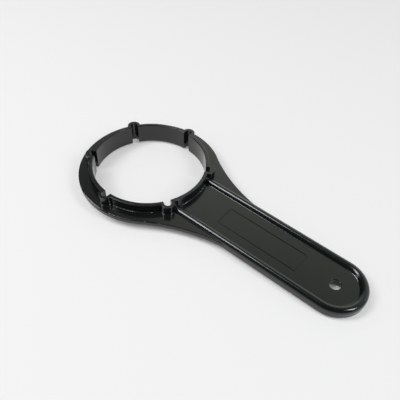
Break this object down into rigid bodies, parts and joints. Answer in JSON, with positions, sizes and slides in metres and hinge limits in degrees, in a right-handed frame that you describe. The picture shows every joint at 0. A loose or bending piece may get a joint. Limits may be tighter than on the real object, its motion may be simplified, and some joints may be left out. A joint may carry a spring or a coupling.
{
  "type": "filter housing wrench",
  "caption": "One-piece moulded wrench: a grooved ring that slips over a filter housing's ribs, on a flat handle with a rounded rim and a hanging hole.",
  "frame": {"origin": "centre of the ring bore, on the plane of the ring's underside", "axes": "+X along the handle, +Z along the ring's axis, up from that plane"},
  "size_m": [0.2485, 0.1138, 0.0173],
  "materials": {
    "body": "gloss"
  },
  "bodies": {
    "root": {"wrench": "body"}
  },
  "joints": []
}
